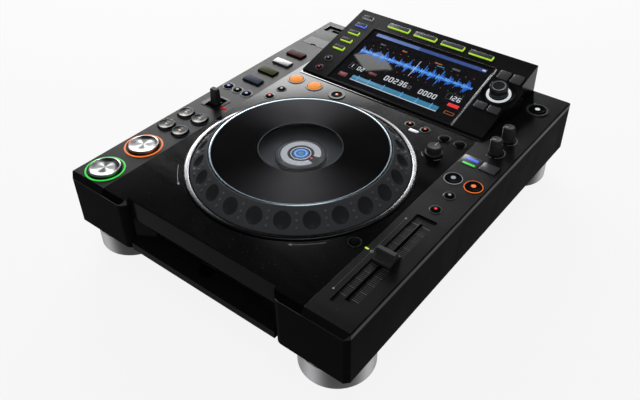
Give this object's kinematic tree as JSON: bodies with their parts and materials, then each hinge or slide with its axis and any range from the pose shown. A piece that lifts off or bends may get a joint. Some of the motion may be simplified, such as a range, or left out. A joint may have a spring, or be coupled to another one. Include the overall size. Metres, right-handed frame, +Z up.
{
  "type": "tabletop disc player",
  "caption": "Tabletop disc player with a front disc slot, a large dimpled jog wheel, a tilted display, a tempo slider, keys, pads and knobs on a flat case with round feet.",
  "frame": {"origin": "on the floor under the middle of the case", "axes": "+X to the player's right, +Y from the front with the disc slot to the rear with the sockets, +Z up"},
  "size_m": [0.316, 0.388, 0.1103],
  "materials": {
    "case": "satin charcoal",
    "deck": "gloss black in the middle, satin at the sides",
    "fascia": "gloss black lip over a satin ramp",
    "foot_metal": "turned and brushed",
    "screw_steel": "zinc plated",
    "bright_trim": "bright, fine turned",
    "inner_black": "matte",
    "console": "satin black",
    "screen_glass": "gloss cover over a lit picture",
    "small_caps": "clear caps with lights under them",
    "board": "green solder mask",
    "sheet_steel": "plain sheet",
    "jog_black": "semi-gloss black",
    "jog_gloss": "gloss black with fine turned lines",
    "spun_metal": "spun, silver",
    "knob_black": "satin black",
    "table_rubber": "matte",
    "pad_blue": "lit blue grey",
    "pad_green": "dark with a lit green edge",
    "pad_grey": "dark grey",
    "pad_red": "dark red",
    "orange_cap": "lit orange",
    "key_gloss": "dark gloss"
  },
  "bodies": {
    "root": {"bottom_case": "case", "top_panel": "deck", "front_fascia": "fascia", "feet": "foot_metal", "case_screws": "screw_steel", "jog_trim_ring": "bright_trim", "jog_base": "inner_black", "display_housing": "console", "display_screen": "screen_glass", "small_key_caps": "small_caps", "key_boards": "board", "main_board": "board", "power_supply": "board", "drive_housing": "sheet_steel", "rear_socket_plate": "inner_black"},
    "jog": {"jog_wheel": "jog_black", "jog_plate": "jog_gloss"},
    "play_key": {"play_key": "spun_metal"},
    "cue_key": {"cue_key": "spun_metal"},
    "search_back_key": {"search_back_key": "key_gloss"},
    "search_forward_key": {"search_forward_key": "key_gloss"},
    "track_back_key": {"track_back_key": "key_gloss"},
    "track_forward_key": {"track_forward_key": "key_gloss"},
    "loop_in_key": {"loop_in_key": "orange_cap"},
    "loop_out_key": {"loop_out_key": "orange_cap"},
    "reloop_key": {"reloop_key": "key_gloss"},
    "delete_key": {"delete_key": "key_gloss"},
    "memory_key": {"memory_key": "key_gloss"},
    "eject_key": {"eject_key": "key_gloss"},
    "sync_key": {"sync_key": "key_gloss"},
    "master_key": {"master_key": "key_gloss"},
    "tempo_reset_key": {"tempo_reset_key": "key_gloss"},
    "hot_cue_pad_a": {"hot_cue_pad_a": "pad_blue"},
    "hot_cue_pad_b": {"hot_cue_pad_b": "pad_green"},
    "hot_cue_pad_c": {"hot_cue_pad_c": "pad_grey"},
    "hot_cue_pad_d": {"hot_cue_pad_d": "pad_red"},
    "jog_mode_key": {"jog_mode_key": "key_gloss"},
    "source_key_1": {"source_key_1": "key_gloss"},
    "source_key_2": {"source_key_2": "key_gloss"},
    "source_key_3": {"source_key_3": "key_gloss"},
    "source_key_4": {"source_key_4": "key_gloss"},
    "source_key_5": {"source_key_5": "key_gloss"},
    "menu_key_1": {"menu_key_1": "key_gloss"},
    "menu_key_2": {"menu_key_2": "key_gloss"},
    "menu_key_3": {"menu_key_3": "key_gloss"},
    "menu_key_4": {"menu_key_4": "key_gloss"},
    "page_back_key": {"page_back_key": "key_gloss"},
    "page_tag_key": {"page_tag_key": "key_gloss"},
    "page_filter_key": {"page_filter_key": "key_gloss"},
    "page_link_key": {"page_link_key": "key_gloss"},
    "selector_shaft": {"selector_shaft": "screw_steel"},
    "selector_knob": {"selector_knob": "knob_black"},
    "direction_lever": {"direction_lever": "knob_black"},
    "card_door": {"card_door": "case"},
    "jog_adjust_knob": {"jog_adjust_knob": "knob_black"},
    "speed_adjust_knob": {"speed_adjust_knob": "knob_black"},
    "brake_knob": {"brake_knob": "knob_black"},
    "tempo_slider": {"tempo_slider": "knob_black"},
    "power_button": {"power_button": "knob_black"},
    "disc_table": {"disc_table": "table_rubber"}
  },
  "joints": [
    {"name": "jog_spin", "type": "hinge", "parent": "root", "child": "jog", "pos_m": [0, -0.0535, 0.0975], "axis": [0, 0, 1], "continuous": true},
    {"name": "play_key_press", "type": "slide", "parent": "root", "child": "play_key", "axis": [0, 0, -1], "range_m": [0, 0.0008], "stiffness_N_per_m": 900, "springref_m": -0.0003},
    {"name": "cue_key_press", "type": "slide", "parent": "root", "child": "cue_key", "axis": [0, 0, -1], "range_m": [0, 0.0008], "stiffness_N_per_m": 900, "springref_m": -0.0003},
    {"name": "search_back_key_press", "type": "slide", "parent": "root", "child": "search_back_key", "axis": [0, 0, -1], "range_m": [0, 0.0008], "stiffness_N_per_m": 600, "springref_m": -0.0002},
    {"name": "search_forward_key_press", "type": "slide", "parent": "root", "child": "search_forward_key", "axis": [0, 0, -1], "range_m": [0, 0.0008], "stiffness_N_per_m": 600, "springref_m": -0.0002},
    {"name": "track_back_key_press", "type": "slide", "parent": "root", "child": "track_back_key", "axis": [0, 0, -1], "range_m": [0, 0.0008], "stiffness_N_per_m": 600, "springref_m": -0.0002},
    {"name": "track_forward_key_press", "type": "slide", "parent": "root", "child": "track_forward_key", "axis": [0, 0, -1], "range_m": [0, 0.0008], "stiffness_N_per_m": 600, "springref_m": -0.0002},
    {"name": "loop_in_key_press", "type": "slide", "parent": "root", "child": "loop_in_key", "axis": [0, 0, -1], "range_m": [0, 0.0008], "stiffness_N_per_m": 600, "springref_m": -0.0002},
    {"name": "loop_out_key_press", "type": "slide", "parent": "root", "child": "loop_out_key", "axis": [0, 0, -1], "range_m": [0, 0.0008], "stiffness_N_per_m": 600, "springref_m": -0.0002},
    {"name": "reloop_key_press", "type": "slide", "parent": "root", "child": "reloop_key", "axis": [0, 0, -1], "range_m": [0, 0.0008], "stiffness_N_per_m": 600, "springref_m": -0.0002},
    {"name": "delete_key_press", "type": "slide", "parent": "root", "child": "delete_key", "axis": [0, 0, -1], "range_m": [0, 0.0008], "stiffness_N_per_m": 600, "springref_m": -0.0002},
    {"name": "memory_key_press", "type": "slide", "parent": "root", "child": "memory_key", "axis": [0, 0, -1], "range_m": [0, 0.0008], "stiffness_N_per_m": 600, "springref_m": -0.0002},
    {"name": "eject_key_press", "type": "slide", "parent": "root", "child": "eject_key", "axis": [0, 0, -1], "range_m": [0, 0.0008], "stiffness_N_per_m": 600, "springref_m": -0.0002},
    {"name": "sync_key_press", "type": "slide", "parent": "root", "child": "sync_key", "axis": [0, 0, -1], "range_m": [0, 0.0008], "stiffness_N_per_m": 600, "springref_m": -0.0002},
    {"name": "master_key_press", "type": "slide", "parent": "root", "child": "master_key", "axis": [0, 0, -1], "range_m": [0, 0.0008], "stiffness_N_per_m": 600, "springref_m": -0.0002},
    {"name": "tempo_reset_key_press", "type": "slide", "parent": "root", "child": "tempo_reset_key", "axis": [0, 0, -1], "range_m": [0, 0.0008], "stiffness_N_per_m": 600, "springref_m": -0.0002},
    {"name": "hot_cue_pad_a_press", "type": "slide", "parent": "root", "child": "hot_cue_pad_a", "axis": [0, 0, -1], "range_m": [0, 0.0008], "stiffness_N_per_m": 600, "springref_m": -0.0002},
    {"name": "hot_cue_pad_b_press", "type": "slide", "parent": "root", "child": "hot_cue_pad_b", "axis": [0, 0, -1], "range_m": [0, 0.0008], "stiffness_N_per_m": 600, "springref_m": -0.0002},
    {"name": "hot_cue_pad_c_press", "type": "slide", "parent": "root", "child": "hot_cue_pad_c", "axis": [0, 0, -1], "range_m": [0, 0.0008], "stiffness_N_per_m": 600, "springref_m": -0.0002},
    {"name": "hot_cue_pad_d_press", "type": "slide", "parent": "root", "child": "hot_cue_pad_d", "axis": [0, 0, -1], "range_m": [0, 0.0008], "stiffness_N_per_m": 600, "springref_m": -0.0002},
    {"name": "jog_mode_key_press", "type": "slide", "parent": "root", "child": "jog_mode_key", "axis": [0, 0, -1], "range_m": [0, 0.0008], "stiffness_N_per_m": 600, "springref_m": -0.0002},
    {"name": "source_key_1_press", "type": "slide", "parent": "root", "child": "source_key_1", "axis": [0, 0.2365, -0.9716], "range_m": [0, 0.0008], "stiffness_N_per_m": 600, "springref_m": -0.0002},
    {"name": "source_key_2_press", "type": "slide", "parent": "root", "child": "source_key_2", "axis": [0, 0.2365, -0.9716], "range_m": [0, 0.0008], "stiffness_N_per_m": 600, "springref_m": -0.0002},
    {"name": "source_key_3_press", "type": "slide", "parent": "root", "child": "source_key_3", "axis": [0, 0.2365, -0.9716], "range_m": [0, 0.0008], "stiffness_N_per_m": 600, "springref_m": -0.0002},
    {"name": "source_key_4_press", "type": "slide", "parent": "root", "child": "source_key_4", "axis": [0, 0.2365, -0.9716], "range_m": [0, 0.0008], "stiffness_N_per_m": 600, "springref_m": -0.0002},
    {"name": "source_key_5_press", "type": "slide", "parent": "root", "child": "source_key_5", "axis": [0, 0.2365, -0.9716], "range_m": [0, 0.0008], "stiffness_N_per_m": 600, "springref_m": -0.0002},
    {"name": "menu_key_1_press", "type": "slide", "parent": "root", "child": "menu_key_1", "axis": [0, 0.2365, -0.9716], "range_m": [0, 0.0008], "stiffness_N_per_m": 600, "springref_m": -0.0002},
    {"name": "menu_key_2_press", "type": "slide", "parent": "root", "child": "menu_key_2", "axis": [0, 0.2365, -0.9716], "range_m": [0, 0.0008], "stiffness_N_per_m": 600, "springref_m": -0.0002},
    {"name": "menu_key_3_press", "type": "slide", "parent": "root", "child": "menu_key_3", "axis": [0, 0.2365, -0.9716], "range_m": [0, 0.0008], "stiffness_N_per_m": 600, "springref_m": -0.0002},
    {"name": "menu_key_4_press", "type": "slide", "parent": "root", "child": "menu_key_4", "axis": [0, 0.2365, -0.9716], "range_m": [0, 0.0008], "stiffness_N_per_m": 600, "springref_m": -0.0002},
    {"name": "page_back_key_press", "type": "slide", "parent": "root", "child": "page_back_key", "axis": [0, 0.2365, -0.9716], "range_m": [0, 0.0008], "stiffness_N_per_m": 600, "springref_m": -0.0002},
    {"name": "page_tag_key_press", "type": "slide", "parent": "root", "child": "page_tag_key", "axis": [0, 0.2365, -0.9716], "range_m": [0, 0.0008], "stiffness_N_per_m": 600, "springref_m": -0.0002},
    {"name": "page_filter_key_press", "type": "slide", "parent": "root", "child": "page_filter_key", "axis": [0, 0.2365, -0.9716], "range_m": [0, 0.0008], "stiffness_N_per_m": 600, "springref_m": -0.0002},
    {"name": "page_link_key_press", "type": "slide", "parent": "root", "child": "page_link_key", "axis": [0, 0.2365, -0.9716], "range_m": [0, 0.0008], "stiffness_N_per_m": 600, "springref_m": -0.0002},
    {"name": "selector_press", "type": "slide", "parent": "root", "child": "selector_shaft", "axis": [0, 0.2365, -0.9716], "range_m": [0, 0.0007], "stiffness_N_per_m": 600, "springref_m": -0.0003},
    {"name": "selector_turn", "type": "hinge", "parent": "selector_shaft", "child": "selector_knob", "pos_m": [0.1006, 0.13864, 0.10196], "axis": [0, -0.2365, 0.9716], "continuous": true},
    {"name": "direction_lever_rock", "type": "hinge", "parent": "root", "child": "direction_lever", "pos_m": [-0.1355, -0.028, 0.074], "axis": [1, 0, 0], "range_deg": [-14, 14]},
    {"name": "card_door_hinge", "type": "hinge", "parent": "root", "child": "card_door", "pos_m": [-0.1355, 0.15, 0.0802], "axis": [-1, 0, 0], "range_deg": [0, 95]},
    {"name": "jog_adjust_knob_turn", "type": "hinge", "parent": "root", "child": "jog_adjust_knob", "pos_m": [0.1362, 0.0935, 0.088], "axis": [0, 0, 1], "range_deg": [-140, 140]},
    {"name": "speed_adjust_knob_turn", "type": "hinge", "parent": "root", "child": "speed_adjust_knob", "pos_m": [0.1362, 0.068, 0.088], "axis": [0, 0, 1], "range_deg": [-140, 140]},
    {"name": "brake_knob_turn", "type": "hinge", "parent": "root", "child": "brake_knob", "pos_m": [0.0907, 0.0322, 0.084], "axis": [0, 0, 1], "range_deg": [-140, 140]},
    {"name": "tempo_slider_slide", "type": "slide", "parent": "root", "child": "tempo_slider", "axis": [0, 1, 0], "range_m": [-0.05, 0.05]},
    {"name": "power_button_press", "type": "slide", "parent": "root", "child": "power_button", "axis": [0, -1, 0], "range_m": [0, 0.0025], "stiffness_N_per_m": 600, "springref_m": -0.0002},
    {"name": "disc_table_spin", "type": "hinge", "parent": "root", "child": "disc_table", "pos_m": [0, -0.11, 0.042], "axis": [0, 0, 1], "continuous": true}
  ]
}
